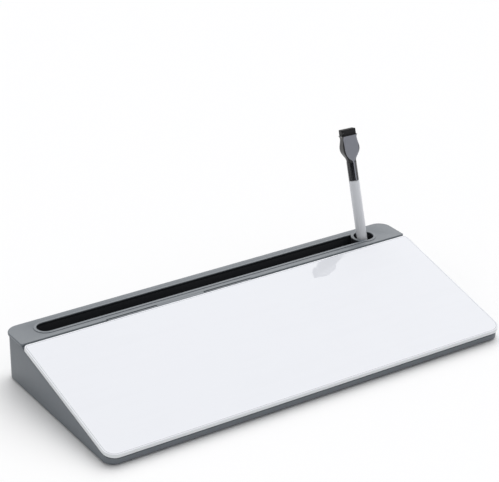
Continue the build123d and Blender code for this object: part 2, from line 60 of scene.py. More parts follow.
MM = 0.001
NEAR = 0.01 * MM  # Places closer than this count as one.
FACING = 0.9  # A face whose normal has at least this share of a direction faces it.
UPRIGHT = 0.5  # A face whose normal has less than this share of Z is upright.
MERGE_DISTANCE = 0.002 * MM
FLAT_ANGLE = radians(0.3)
ROUNDED_ANGLE = radians(50.0)
SMOOTH_ANGLE = radians(32.0)
FELT_SMOOTH_ANGLE = radians(180.0)
SHIELD_SMOOTH_ANGLE = radians(40.0)
EDGE_STEPS = 2
RIM_STEPS = 3


class Body(Enum):
    """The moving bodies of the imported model."""

    TRAY = "tray"
    LID = "lid"
    MARKER = "marker"
    CAP = "cap"


# Shader groups


def new_group(
    name: str, inputs: Dict[str, Tuple[str, object]], outputs: Dict[str, str]
) -> bpy.types.NodeTree:
    """Make an empty shader group with named sockets.

    Args:
        name: Name of the group.
        inputs: Socket name to its type and default value.
        outputs: Socket name to its type.

    Returns:
        The node tree with its group input and output nodes.
    """
    tree = bpy.data.node_groups.new(name, "ShaderNodeTree")
    for label, (kind, value) in inputs.items():
        socket = tree.interface.new_socket(name=label, in_out="INPUT", socket_type=kind)
        socket.default_value = value
    for label, kind in outputs.items():
        tree.interface.new_socket(name=label, in_out="OUTPUT", socket_type=kind)
    tree.nodes.new("NodeGroupInput")
    tree.nodes.new("NodeGroupOutput")
    return tree


def add_node(
    tree: bpy.types.NodeTree, kind: str, settings: Dict[str, object], links: Dict[str, object]
) -> bpy.types.Node:
    """Add one node, set it up and feed its inputs.

    Args:
        tree: Tree that gets the node.
        kind: Type name of the node.
        settings: Property names, input names or input numbers with their values.
        links: Input names or numbers with the output sockets that feed them.

    Returns:
        The new node.
    """
    node = tree.nodes.new(kind)
    for key, value in settings.items():
        if key.isdigit():
            node.inputs[int(key)].default_value = value
        elif key in node.inputs:
            node.inputs[key].default_value = value
        else:
            setattr(node, key, value)
    for key, socket in links.items():
        target = node.inputs[int(key)] if key.isdigit() else node.inputs[key]
        tree.links.new(socket, target)
    return node


def build_grain_group() -> bpy.types.NodeTree:
    """Moulded surface: slow colour drift, fine grain height and uneven roughness.

    Returns:
        The group "moulded_grain".
    """
    number, colour = "NodeSocketFloat", "NodeSocketColor"
    tree = new_group(
        "moulded_grain",
        {
            "Colour": (colour, (0.5, 0.5, 0.5, 1.0)),
            "Grain Scale": (number, 1800.0),
            "Drift": (number, 0.08),
            "Roughness": (number, 0.4),
            "Rough Drift": (number, 0.1),
        },
        {"Colour": colour, "Roughness": number, "Height": number},
    )
    source, sink = tree.nodes["Group Input"], tree.nodes["Group Output"]
    place = add_node(tree, "ShaderNodeTexCoord", {}, {}).outputs["Object"]
    slow = add_node(tree, "ShaderNodeTexNoise", {"Scale": 22.0, "Detail": 3.0}, {"Vector": place})
    mottle = add_node(tree, "ShaderNodeTexNoise", {"Scale": 260.0, "Detail": 5.0}, {"Vector": place})
    fine = add_node(
        tree,
        "ShaderNodeTexNoise",
        {"Detail": 4.0, "Roughness": 0.62},
        {"Vector": place, "Scale": source.outputs["Grain Scale"]},
    )
    tone = add_node(
        tree, "ShaderNodeMath", {"operation": "ADD"}, {"0": slow.outputs["Fac"], "1": mottle.outputs["Fac"]}
    )
    offset = add_node(
        tree, "ShaderNodeMath", {"operation": "SUBTRACT", "1": 1.0}, {"0": tone.outputs[0]}
    )
    gain = add_node(
        tree,
        "ShaderNodeMath",
        {"operation": "MULTIPLY_ADD", "2": 1.0},
        {"0": offset.outputs[0], "1": source.outputs["Drift"]},
    )
    shade = add_node(
        tree,
        "ShaderNodeVectorMath",
        {"operation": "SCALE"},
        {"0": source.outputs["Colour"], "Scale": gain.outputs[0]},
    )
    uneven = add_node(
        tree,
        "ShaderNodeMath",
        {"operation": "MULTIPLY_ADD"},
        {"0": offset.outputs[0], "1": source.outputs["Rough Drift"], "2": source.outputs["Roughness"]},
    )
    tree.links.new(shade.outputs["Vector"], sink.inputs["Colour"])
    tree.links.new(uneven.outputs[0], sink.inputs["Roughness"])
    tree.links.new(fine.outputs["Fac"], sink.inputs["Height"])
    return tree


def build_marks_group() -> bpy.types.NodeTree:
    """Handling marks on glossy surfaces: wide soft smears and thin wiping streaks.

    Returns:
        The group "handling_marks".
    """
    number = "NodeSocketFloat"
    tree = new_group(
        "handling_marks",
        {"Clean": (number, 0.05), "Marked": (number, 0.2), "Amount": (number, 0.5)},
        {"Roughness": number, "Mask": number},
    )
    source, sink = tree.nodes["Group Input"], tree.nodes["Group Output"]
    place = add_node(tree, "ShaderNodeTexCoord", {}, {}).outputs["Object"]
    smear = add_node(
        tree, "ShaderNodeTexNoise", {"Scale": 14.0, "Detail": 6.0, "Distortion": 0.8}, {"Vector": place}
    )
    stretch = add_node(tree, "ShaderNodeMapping", {"Scale": (12.0, 160.0, 12.0)}, {"Vector": place})
    streak = add_node(
        tree, "ShaderNodeTexNoise", {"Scale": 1.0, "Detail": 4.0}, {"Vector": stretch.outputs["Vector"]}
    )
    both = add_node(
        tree,
        "ShaderNodeMath",
        {"operation": "MULTIPLY"},
        {"0": smear.outputs["Fac"], "1": streak.outputs["Fac"]},
    )
    mask = add_node(
        tree, "ShaderNodeMapRange", {"From Min": 0.22, "From Max": 0.42}, {"Value": both.outputs[0]}
    )
    span = add_node(
        tree,
        "ShaderNodeMath",
        {"operation": "SUBTRACT"},
        {"0": source.outputs["Marked"], "1": source.outputs["Clean"]},
    )
    part = add_node(
        tree,
        "ShaderNodeMath",
        {"operation": "MULTIPLY"},
        {"0": mask.outputs["Result"], "1": source.outputs["Amount"]},
    )
    rough = add_node(
        tree,
        "ShaderNodeMath",
        {"operation": "MULTIPLY_ADD"},
        {"0": part.outputs[0], "1": span.outputs[0], "2": source.outputs["Clean"]},
    )
    tree.links.new(rough.outputs[0], sink.inputs["Roughness"])
    tree.links.new(mask.outputs["Result"], sink.inputs["Mask"])
    return tree


# Finishes


@dataclass(frozen=True)
class Moulded:
    """A moulded plastic, rubber or felt finish with a fine grain."""

    name: str
    slot: str
    colour: Colour
    roughness: float
    grain_scale: float = 1800.0
    grain_depth: float = 0.00002
    grain_strength: float = 0.25
    drift: float = 0.08
    rough_drift: float = 0.12
    specular: float = 0.5
    sheen: float = 0.0

    def build(self, dresser: "Dresser") -> bpy.types.Material:
        """Make the material.

        Args:
            dresser: Holds the shared groups.

        Returns:
            The finished material.
        """
        material, shader = dresser.start(self.name)
        tree = material.node_tree
        grain = dresser.use(
            tree,
            dresser.grain,
            {
                "Colour": (*self.colour, 1.0),
                "Grain Scale": self.grain_scale,
                "Drift": self.drift,
                "Roughness": self.roughness,
                "Rough Drift": self.rough_drift,
            },
        )
        bump = add_node(
            tree,
            "ShaderNodeBump",
            {"Strength": self.grain_strength, "Distance": self.grain_depth},
            {"Height": grain.outputs["Height"]},
        )
        tree.links.new(grain.outputs["Colour"], shader.inputs["Base Color"])
        tree.links.new(grain.outputs["Roughness"], shader.inputs["Roughness"])
        tree.links.new(bump.outputs["Normal"], shader.inputs["Normal"])
        shader.inputs["Specular IOR Level"].default_value = self.specular
        shader.inputs["Sheen Weight"].default_value = self.sheen
        return material


@dataclass(frozen=True)
class Polished:
    """A glossy finish with handling marks in its roughness and faintly in its colour."""

    name: str
    slot: str
    colour: Colour
    clean: float = 0.05
    marked: float = 0.2
    amount: float = 0.5
    dulling: float = 0.03
    transmission: float = 0.0
    metallic: float = 0.0
    ior: float = 1.5
    coat: float = 0.0

    def build(self, dresser: "Dresser") -> bpy.types.Material:
        """Make the material.

        Args:
            dresser: Holds the shared groups.

        Returns:
            The finished material.
        """
        material, shader = dresser.start(self.name)
        tree = material.node_tree
        values = {"Clean": self.clean, "Marked": self.marked, "Amount": self.amount}
        marks = dresser.use(tree, dresser.marks, values)
        dull = tuple(part * (1.0 - self.dulling) for part in self.colour)
        tint = add_node(
            tree,
            "ShaderNodeMix",
            {"data_type": "RGBA", "6": (*self.colour, 1.0), "7": (*dull, 1.0)},
            {"0": marks.outputs["Mask"]},
        )
        tree.links.new(tint.outputs[2], shader.inputs["Base Color"])
        tree.links.new(marks.outputs["Roughness"], shader.inputs["Roughness"])
        shader.inputs["Transmission Weight"].default_value = self.transmission
        shader.inputs["Metallic"].default_value = self.metallic
        shader.inputs["IOR"].default_value = self.ior
        shader.inputs["Coat Weight"].default_value = self.coat
        return material


Finish = Union[Moulded, Polished]

GREY_PLASTIC = Moulded("grey_plastic", "grey_plastic", (0.150, 0.168, 0.188), 0.42)
# Near-black finish for the inside of the slot and of the marker's well.
NEAR_BLACK_INSIDE = Moulded("black_liner", "black_liner", (0.012, 0.014, 0.018), 0.5)
FOOT_RUBBER = Moulded("foot_rubber", "foot_rubber", (0.03, 0.03, 0.033), 0.75, grain_scale=900.0)
GLASS_WHITE = Polished("backed_glass", "clear_glass", (0.755, 0.770, 0.815), 0.02, 0.06, 0.4, 0.01)
GLASS_EDGE = Polished("glass_edge", "clear_glass", (0.80, 0.83, 0.85), 0.12, 0.3, 0.5)
# Painted shade: a thin dark ring where the white coat behind the glass ends, standing in for the shadow in
# the gap at the coat's edge.
GLASS_SHADE_LINE = Polished("glass_coat_edge_shade", "clear_glass", (0.34, 0.36, 0.39), 0.05, 0.1, 0.4)
WHITE_COAT = Polished("white_coat", "white_coat", (0.74, 0.75, 0.77), 0.25, 0.4)
LEAF_PLASTIC = Moulded("leaf_plastic", "leaf_plastic", (0.14, 0.155, 0.175), 0.38)
BOND_TAPE = Moulded("bond_tape", "bond_tape", (0.62, 0.62, 0.60), 0.8, 2600.0)
CLEAR_BUMPER = Polished(
    "clear_bumper", "clear_bumper", (0.9, 0.93, 0.95), 0.1, 0.3, 0.6, transmission=0.9, ior=1.42
)
MARKER_WHITE = Moulded(
    "marker_white", "marker_white", (0.74, 0.76, 0.80), 0.25, 1400.0, grain_strength=0.08, drift=0.02
)
MARKER_BLACK = Polished("marker_black", "marker_black", (0.010, 0.010, 0.012), 0.10, 0.25, 0.5)
# Painted reflection: this grey stands in for the bright surroundings mirrored in the flat facet of the
# gloss black cap.
SHIELD_PAINTED_REFLECTION = Polished("shield_painted_reflection", "marker_black", (0.27, 0.28, 0.32), 0.22, 0.4, 0.6, 0.12)
NIB_FELT = Moulded("nib_felt", "nib_felt", (0.010, 0.010, 0.012), 0.9, 6000.0, 0.0001, 0.7)
INK_FIBRE = Moulded("ink_fibre", "ink_fibre", (0.02, 0.02, 0.025), 0.9, 4000.0, 0.0001, 0.7)
ERASER_FELT = Moulded(
    "eraser_felt", "eraser_felt", (0.012, 0.012, 0.014), 0.95, 2600.0, 0.0003, 0.9, 0.3, sheen=0.25
)
SCREW_STEEL = Polished("screw_steel", "screw_steel", (0.42, 0.42, 0.44), 0.3, 0.5, 0.6, metallic=1.0)
PIN_STEEL = Polished("pin_steel", "pin_steel", (0.58, 0.58, 0.60), 0.2, 0.4, 0.6, metallic=1.0)


class Dresser:
    """Makes each material once and lays it on pieces."""

    def __init__(self) -> None:
        """Build the shared shader groups."""
        self.grain = build_grain_group()
        self.marks = build_marks_group()
        self.made: Dict[str, bpy.types.Material] = {}

    def start(self, name: str) -> Tuple[bpy.types.Material, bpy.types.Node]:
        """Begin a material.

        Args:
            name: Name of the material.

        Returns:
            The material and its Principled shader.
        """
        material = bpy.data.materials.new(name)
        material.use_nodes = True
        return material, material.node_tree.nodes["Principled BSDF"]

    def use(
        self, tree: bpy.types.NodeTree, group: bpy.types.NodeTree, values: Dict[str, object]
    ) -> bpy.types.Node:
        """Place a shared group in a material.

        Args:
            tree: The material's tree.
            group: The group to place.
            values: Input names and values.

        Returns:
            The group node.
        """
        return add_node(tree, "ShaderNodeGroup", {"node_tree": group, **values}, {})

    def material(self, finish: Finish) -> bpy.types.Material:
        """Return a finish as a material, made on first use.

        Args:
            finish: The finish wanted.

        Returns:
            Its material.
        """
        if finish.name not in self.made:
            self.made[finish.name] = finish.build(self)
        return self.made[finish.name]

    def lay(self, piece: bpy.types.Object, *finishes: Finish) -> None:
        """Give a piece its finishes, the first of them on every face.

        Args:
            piece: The piece.
            finishes: Its finishes in the order of its material slots.
        """
        piece.data.materials.clear()
        for finish in finishes:
            piece.data.materials.append(self.material(finish))


# Modelling helpers


def deselect_all() -> None:
    """Leave edit mode and deselect every object."""
    if bpy.context.object and bpy.context.object.mode != "OBJECT":
        bpy.ops.object.mode_set(mode="OBJECT")
    bpy.ops.object.select_all(action="DESELECT")


def pick(piece: bpy.types.Object) -> None:
    """Make a piece the only selected and the active one.

    Args:
        piece: The piece to work on.
    """
    deselect_all()
    piece.select_set(True)
    bpy.context.view_layer.objects.active = piece


def choose_faces(test: Callable[[bmesh.types.BMFace], bool]) -> None:
    """Select the faces of the piece in edit mode that pass a test, and no others.

    Args:
        test: Says whether a face is wanted.
    """
    bpy.context.tool_settings.mesh_select_mode = (False, False, True)
    bpy.ops.mesh.select_all(action="DESELECT")
    mesh = bpy.context.edit_object.data
    shape = bmesh.from_edit_mesh(mesh)
    for face in shape.faces:
        face.select_set(test(face))
    bmesh.update_edit_mesh(mesh)


def choose_edges(test: Callable[[bmesh.types.BMEdge], bool]) -> None:
    """Select the edges of the piece in edit mode that pass a test, and no others.

    Args:
        test: Says whether an edge is wanted.
    """
    bpy.context.tool_settings.mesh_select_mode = (False, True, False)
    bpy.ops.mesh.select_all(action="DESELECT")
    mesh = bpy.context.edit_object.data
    shape = bmesh.from_edit_mesh(mesh)
    for edge in shape.edges:
        edge.select_set(test(edge))
    bmesh.update_edit_mesh(mesh)


def is_level(edge: bmesh.types.BMEdge, height: float) -> bool:
    """Say whether both ends of an edge lie at a given height.

    Args:
        edge: The edge.
        height: The height.

    Returns:
        True where they do.
    """
    return all(abs(corner.co.z - height) < NEAR for corner in edge.verts)


def paint_chosen(piece: bpy.types.Object, index: int) -> None:
    """Give the selected faces one of the piece's finishes.

    Args:
        piece: The piece in edit mode.
        index: Number of its material slot.
    """
    piece.active_material_index = index
    bpy.ops.object.material_slot_assign()


def start_block(name: str, low: Sequence[float], high: Sequence[float]) -> bpy.types.Object:
    """Add a box between two corners, ready for shaping in edit mode.

    Args:
        name: Name of the piece.
        low: Its lowest corner.
        high: Its highest corner.

    Returns:
        The piece in edit mode.
    """
    deselect_all()
    size = [top - base for base, top in zip(low, high)]
    middle = [(top + base) / 2 for base, top in zip(low, high)]
    bpy.ops.mesh.primitive_cube_add(size=1.0, location=middle, scale=size)
    return open_piece(name)


def start_disc(name: str, radius: float, low: float, high: float, sides: int = 48) -> bpy.types.Object:
    """Add an upright round disc on the origin's axis, ready for shaping in edit mode.

    Args:
        name: Name of the piece.
        radius: Its radius.
        low: Height of its lower face.
        high: Height of its upper face.
        sides: Number of its sides.

    Returns:
        The piece in edit mode.
    """
    deselect_all()
    bpy.ops.mesh.primitive_cylinder_add(
        vertices=sides, radius=radius, depth=high - low, location=(0.0, 0.0, (low + high) / 2)
    )
    return open_piece(name)


def open_piece(name: str) -> bpy.types.Object:
    """Name the new primitive, fix its place in its mesh and open it in edit mode.

    Args:
        name: Name of the piece.

    Returns:
        The piece.
    """
    piece = bpy.context.active_object
    piece.name = name
    piece.data.name = name
    bpy.ops.object.transform_apply(location=True, rotation=True, scale=True)
    bpy.ops.object.mode_set(mode="EDIT")
    return piece


def settle(piece: bpy.types.Object, place: Matrix, smooth: float = SMOOTH_ANGLE) -> None:
    """Close a piece, turn its faces outwards, put it in its place and shade it.

    Args:
        piece: The piece.
        place: Its place, which goes into its mesh.
        smooth: Sharpest angle that is shaded smooth.
    """
    pick(piece)
    bpy.ops.object.mode_set(mode="EDIT")
    bpy.ops.mesh.select_all(action="SELECT")
    bpy.ops.mesh.normals_make_consistent(inside=False)
    bpy.ops.object.mode_set(mode="OBJECT")
    piece.matrix_world = place @ piece.matrix_world
    bpy.ops.object.transform_apply(location=True, rotation=True, scale=True)
    bpy.ops.object.shade_smooth_by_angle(angle=smooth)


def round_edges(piece: bpy.types.Object, width: float) -> None:
    """Round the sharp edges of a piece.

    Args:
        piece: The piece, in object mode.
        width: Width of the rounding.
    """
    pick(piece)
    bevel = piece.modifiers.new("edge_round", "BEVEL")
    bevel.width = width
    bevel.segments = EDGE_STEPS
    bevel.limit_method = "ANGLE"
    bevel.angle_limit = ROUNDED_ANGLE
    bpy.ops.object.modifier_apply(modifier=bevel.name)


def copy_piece(mesh: bpy.types.Mesh, name: str) -> bpy.types.Object:
    """Put a copy of a mesh into the scene as a piece of its own.

    Args:
        mesh: The mesh to copy.
        name: Name of the new piece.

    Returns:
        The new piece.
    """
    piece = bpy.data.objects.new(name, mesh.copy())
    bpy.context.scene.collection.objects.link(piece)
    return piece


def refined_copy(node: str, name: str, edge: float, flat: bool = True) -> bpy.types.Object:
    """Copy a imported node, join its triangles and round its sharp edges.

    Args:
        node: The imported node.
        name: Name of the new piece.
        edge: Width of the rounding, 0 for none.
        flat: Whether its flat faces are made whole first.

    Returns:
        The new piece.
    """
    piece = copy_piece(frame["nodes"][node].data, name)
    pick(piece)
    bpy.ops.object.mode_set(mode="EDIT")
    bpy.ops.mesh.select_all(action="SELECT")
    bpy.ops.mesh.remove_doubles(threshold=MERGE_DISTANCE)
    if flat:
        bpy.ops.mesh.dissolve_limited(angle_limit=FLAT_ANGLE)
    bpy.ops.object.mode_set(mode="OBJECT")
    if edge:
        round_edges(piece, edge)
    bpy.ops.object.shade_smooth_by_angle(angle=SMOOTH_ANGLE)
    return piece


# Sub-assemblies


@dataclass
class SubAssembly:
    """A group of pieces that ride on one body."""

    dresser: Dresser
    body: Body

    def adopt(self, piece: bpy.types.Object, nodes: Sequence[str], *finishes: Finish) -> bpy.types.Object:
        """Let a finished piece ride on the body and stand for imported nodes.

        Args:
            piece: The piece.
            nodes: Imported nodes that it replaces, none for added detail.
            finishes: Its finishes, where it has none yet.

        Returns:
            The same piece.
        """
        if finishes:
            self.dresser.lay(piece, *finishes)
        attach(piece, self.body.value)
        if nodes:
            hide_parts(*nodes)
        LOG.info("%s: %d faces", piece.name, len(piece.data.polygons))
        return piece

    def refine(self, node: str, edge: float, finish: Finish, flat: bool = True) -> bpy.types.Object:
        """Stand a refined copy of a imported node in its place.

        Args:
            node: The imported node.
            edge: Width of its edge rounding.
            finish: Its finish.
            flat: Whether its flat faces are made whole.

        Returns:
            The new piece.
        """
        return self.adopt(refined_copy(node, node + "_refined", edge, flat), [node], finish)

    def keep(self, node: str, finish: Finish) -> None:
        """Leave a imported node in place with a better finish.

        Args:
            node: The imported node.
            finish: Its finish.
        """
        self.dresser.lay(frame["nodes"][node], finish)


@dataclass
class Tray(SubAssembly):
    """Compartment tray with its dividers, feet and screws."""

    shell_edge: float = 0.25 * MM
    divider_edge: float = 0.2 * MM
    screw_edge: float = 0.15 * MM
    foot_names: Tuple[str, ...] = (
        "foot_front_left", "foot_front_right", "foot_rear_left", "foot_rear_right",
    )
    divider_names: Tuple[str, ...] = (
        "divider_long_left", "divider_long_right", "divider_full", "divider_short",
    )
    foot_edge: float = 0.4 * MM
    foot_rim: float = 1.3 * MM
    foot_slope: float = 0.7 * MM
    dish_depth: float = 0.35 * MM

    def build_feet(self) -> None:
        """Model one rubber foot with a shallow dish under it, and copy it to each corner."""
        low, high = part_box(self.foot_names[0])
        radius = (high[0] - low[0]) / 2
        model = start_disc("foot_model", radius, low[2], high[2])
        choose_faces(lambda face: face.normal.z < -FACING)
        bpy.ops.mesh.inset(thickness=self.foot_rim)
        bpy.ops.mesh.inset(thickness=self.foot_slope)
        bpy.ops.transform.translate(value=(0.0, 0.0, self.dish_depth))
        choose_edges(lambda edge: self.on_rim(edge, radius, low[2]))
        bpy.ops.mesh.bevel(offset=self.foot_edge, segments=RIM_STEPS, affect="EDGES")
        settle(model, Matrix.Identity(4))
        for name in self.foot_names:
            base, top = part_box(name)
            middle = Vector(((base[0] + top[0]) / 2, (base[1] + top[1]) / 2, 0.0))
            foot = copy_piece(model.data, name + "_rubber")
            settle(foot, Matrix.Translation(middle))
            self.adopt(foot, [name], FOOT_RUBBER)
        bpy.data.objects.remove(model)

    @staticmethod
    def on_rim(edge: bmesh.types.BMEdge, radius: float, height: float) -> bool:
        """Say whether an edge runs round the foot at a given height.

        Args:
            edge: The edge.
            radius: Radius of the foot.
            height: Height of the edge.

        Returns:
            True for an edge of the outer circle at that height.
        """
        round_it = all(abs(hypot(corner.co.x, corner.co.y) - radius) < NEAR for corner in edge.verts)
        return is_level(edge, height) and round_it

    def build(self) -> None:
        """Build and dress the tray."""
        self.refine("base_tray", self.shell_edge, GREY_PLASTIC)
        for name in self.divider_names:
            self.refine(name, self.divider_edge, GREY_PLASTIC)
        self.refine("deck_screws", self.screw_edge, SCREW_STEEL)
        self.keep("hinge_pin", PIN_STEEL)
        self.build_feet()


@dataclass
class Deck(SubAssembly):
    """Rear deck with the black insides of its slot and of the marker's well."""

    shell_edge: float = 0.2 * MM
    inside_piece_edge: float = 0.15 * MM
    slot_half: float = 8.4 * MM
    hole_radius: float = 9.4 * MM
    trough_margin: float = 3.0 * MM
    reveal: float = 0.9 * MM
    slack: float = 0.4 * MM
    dark_inside_slot: int = 1

    def build_shell(self) -> None:
        """Refine the deck and make the inner walls of slot and hole black below a thin grey reveal."""
        trough_low, trough_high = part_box("slot_trough")
        cup_low, cup_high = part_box("marker_cup")
        hole_x = (cup_low[0] + cup_high[0]) / 2
        slot_y = (trough_low[1] + trough_high[1]) / 2
        hole = Vector((hole_x, slot_y, trough_high[2]))
        left_x = trough_low[0] + self.trough_margin + self.slot_half
        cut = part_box("rear_deck")[1][2] - self.reveal
        piece = refined_copy("rear_deck", "rear_deck_refined", self.shell_edge)
        self.dresser.lay(piece, GREY_PLASTIC, NEAR_BLACK_INSIDE)
        pick(piece)
        bpy.ops.object.mode_set(mode="EDIT")
        choose_faces(lambda face: self.is_inner_wall(face, hole, left_x))
        bpy.ops.mesh.bisect(plane_co=(0.0, 0.0, cut), plane_no=(0.0, 0.0, 1.0))
        choose_faces(
            lambda face: self.is_inner_wall(face, hole, left_x) and face.calc_center_median().z < cut
        )
        # The walls of slot and hole below the grey band are coloured near-black.
        paint_chosen(piece, self.dark_inside_slot)
        bpy.ops.object.mode_set(mode="OBJECT")
        bpy.ops.object.shade_smooth_by_angle(angle=SMOOTH_ANGLE)
        self.adopt(piece, ["rear_deck"])

    def is_inner_wall(self, face: bmesh.types.BMFace, hole: Vector, left_x: float) -> bool:
        """Say whether a face is an upright wall of the slot or of the hole.

        Args:
            face: The face.
            hole: Middle of the hole, at the height where the trough begins.
            left_x: Middle of the slot's round left end.

        Returns:
            True for the inner walls.
        """
        spot = face.calc_center_median()
        if abs(face.normal.z) > UPRIGHT or spot.z < hole.z - self.slack:
            return False
        beyond = max(left_x - spot.x, 0.0)
        in_slot = spot.x < hole.x and hypot(beyond, spot.y - hole.y) < self.slot_half + self.slack
        in_hole = hypot(spot.x - hole.x, spot.y - hole.y) < self.hole_radius + self.slack
        return in_slot or in_hole

    def build(self) -> None:
        """Build and dress the deck."""
        self.build_shell()
        self.refine("slot_trough", self.inside_piece_edge, NEAR_BLACK_INSIDE)
        self.refine("marker_cup", self.inside_piece_edge, NEAR_BLACK_INSIDE)


@dataclass
class Lid(SubAssembly):
    """Glass lid: white-backed glass, hinge leaf and bumpers, drawn flat and then tilted into place."""

    tilt: float = radians(13.4)
    length: float = 400.0 * MM
    depth: float = 148.0 * MM
    glass: float = 3.5 * MM
    coat: float = 0.5 * MM
    front_corner: float = 11.0 * MM
    front_steps: int = 16
    rear_corner: float = 4.0 * MM
    rear_steps: int = 8
    arris: float = 0.5 * MM
    coat_margin: float = 1.35 * MM
    coat_shade_line: float = 0.35 * MM
    edge_slot: int = 1
    shade_line_slot: int = 2
    leaf_edge: float = 0.2 * MM
    bumper_radius: float = 4.7 * MM
    bumper_height: float = 0.9 * MM
    bumper_rim: float = 1.6 * MM
    bumper_edge: float = 0.35 * MM
    bumper_dip: float = 0.4 * MM

    def place(self) -> Matrix:
        """Work out the lid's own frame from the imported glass.

        Returns:
            The frame, with Y up the lid's underside from its front edge and Z square on it.
        """
        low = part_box("glass_panel")[0]
        top = self.glass + self.coat - self.arris
        origin = Vector((0.0, low[1] + top * sin(self.tilt), low[2] - self.coat * cos(self.tilt)))
        return Matrix.Translation(origin) @ Matrix.Rotation(self.tilt, 4, "X")

    def build_glass(self) -> None:
        """Model the glass with its rounded corners, its arris and a thin ring of painted shade where the
        coat behind it ends.
        """
        half, top = self.length / 2, self.coat + self.glass
        piece = start_block("glass_slab", (-half, 0.0, self.coat), (half, self.depth, top))
        self.dresser.lay(piece, GLASS_WHITE, GLASS_EDGE, GLASS_SHADE_LINE)
        ends = (
            (0.0, self.front_corner, self.front_steps),
            (self.depth, self.rear_corner, self.rear_steps),
        )
        for end_y, radius, steps in ends:
            choose_edges(lambda edge: self.is_corner(edge, end_y))
            bpy.ops.mesh.bevel(offset=radius, segments=steps, affect="EDGES")
        choose_faces(lambda face: face.normal.z > FACING)
        bpy.ops.mesh.inset(thickness=self.coat_margin)
        bpy.ops.mesh.inset(thickness=self.coat_shade_line)
        choose_faces(lambda face: face.normal.z > FACING and self.is_ring(face, top))
        # This ring gets the painted shade of the coat's edge.
        paint_chosen(piece, self.shade_line_slot)
        choose_edges(lambda edge: self.is_outer(edge, top))
        bpy.ops.mesh.bevel(offset=self.arris, segments=EDGE_STEPS, affect="EDGES")
        choose_edges(lambda edge: self.is_outer(edge, self.coat))
        bpy.ops.mesh.bevel(offset=self.arris / 2, segments=EDGE_STEPS, affect="EDGES")
        choose_faces(lambda face: face.normal.z < FACING)
        paint_chosen(piece, self.edge_slot)
        settle(piece, self.place())
        self.adopt(piece, ["glass_panel"])

    @staticmethod
    def is_corner(edge: bmesh.types.BMEdge, end_y: float) -> bool:
        """Say whether an edge is an upright one at the front or the rear of the glass.

        Args:
            edge: The edge.
            end_y: Place of that end.

        Returns:
            True for the two edges there.
        """
        first, second = edge.verts[0].co, edge.verts[1].co
        at_end = abs(first.y - end_y) < NEAR and abs(second.y - end_y) < NEAR
        return abs(first.z - second.z) > NEAR and at_end

    @staticmethod
    def is_outer(edge: bmesh.types.BMEdge, height: float) -> bool:
        """Say whether an edge runs round the outside of the glass at a given height.

        Args:
            edge: The edge.
            height: Height of the edge.

        Returns:
            True for the outer edges at that height.
        """
        return is_level(edge, height) and any(abs(face.normal.z) < UPRIGHT for face in edge.link_faces)

    def is_ring(self, face: bmesh.types.BMFace, top: float) -> bool:
        """Say whether a face belongs to the thin ring of painted shade where the coat ends.

        Args:
            face: The face.
            top: Height of the top of the glass.

        Returns:
            True for the narrow ring between the margin and the writing surface.
        """
        shortest = min(edge.calc_length() for edge in face.edges)
        inner = all(not self.is_outer(edge, top) for edge in face.edges)
        return len(face.verts) == 4 and inner and shortest < 2 * self.coat_shade_line

    def build_bumpers(self) -> None:
        """Model one clear bumper with a raised rim, and copy it to both front corners."""
        model = start_disc("bumper_model", self.bumper_radius, -self.bumper_height, 0.0)
        choose_faces(lambda face: face.normal.z < -FACING)
        bpy.ops.mesh.inset(thickness=self.bumper_rim)
        bpy.ops.transform.translate(value=(0.0, 0.0, self.bumper_dip))
        choose_edges(lambda edge: is_level(edge, -self.bumper_height))
        bpy.ops.mesh.bevel(offset=self.bumper_edge, segments=RIM_STEPS, affect="EDGES")
        settle(model, Matrix.Identity(4))
        tilted = self.place().to_3x3().to_4x4()
        for name in ("bumper_left", "bumper_right"):
            low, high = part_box(name)
            middle = (Vector(low) + Vector(high)) / 2
            bumper = copy_piece(model.data, name + "_clear")
            lift = Vector((0.0, 0.0, self.bumper_height / 2))
            settle(bumper, Matrix.Translation(middle) @ tilted @ Matrix.Translation(lift))
            self.adopt(bumper, [name], CLEAR_BUMPER)
        bpy.data.objects.remove(model)

    def build(self) -> None:
        """Build and dress the lid."""
        self.build_glass()
        self.keep("white_backing", WHITE_COAT)
        self.keep("leaf_tape", BOND_TAPE)
        self.refine("hinge_leaf", self.leaf_edge, LEAF_PLASTIC)
        self.build_bumpers()


@dataclass
class Marker(SubAssembly):
    """Marker: white barrel, black end plug, nib with its holder, and the ink reservoir inside."""

    edge: float = 0.2 * MM

    def build(self) -> None:
        """Build and dress the marker without its cap."""
        self.refine("marker_barrel", self.edge, MARKER_WHITE, flat=False)
        self.refine("marker_end_plug", self.edge, MARKER_BLACK, flat=False)
        self.refine("marker_nib_holder", self.edge, MARKER_BLACK, flat=False)
        self.keep("marker_nib", NIB_FELT)
        self.keep("ink_reservoir", INK_FIBRE)


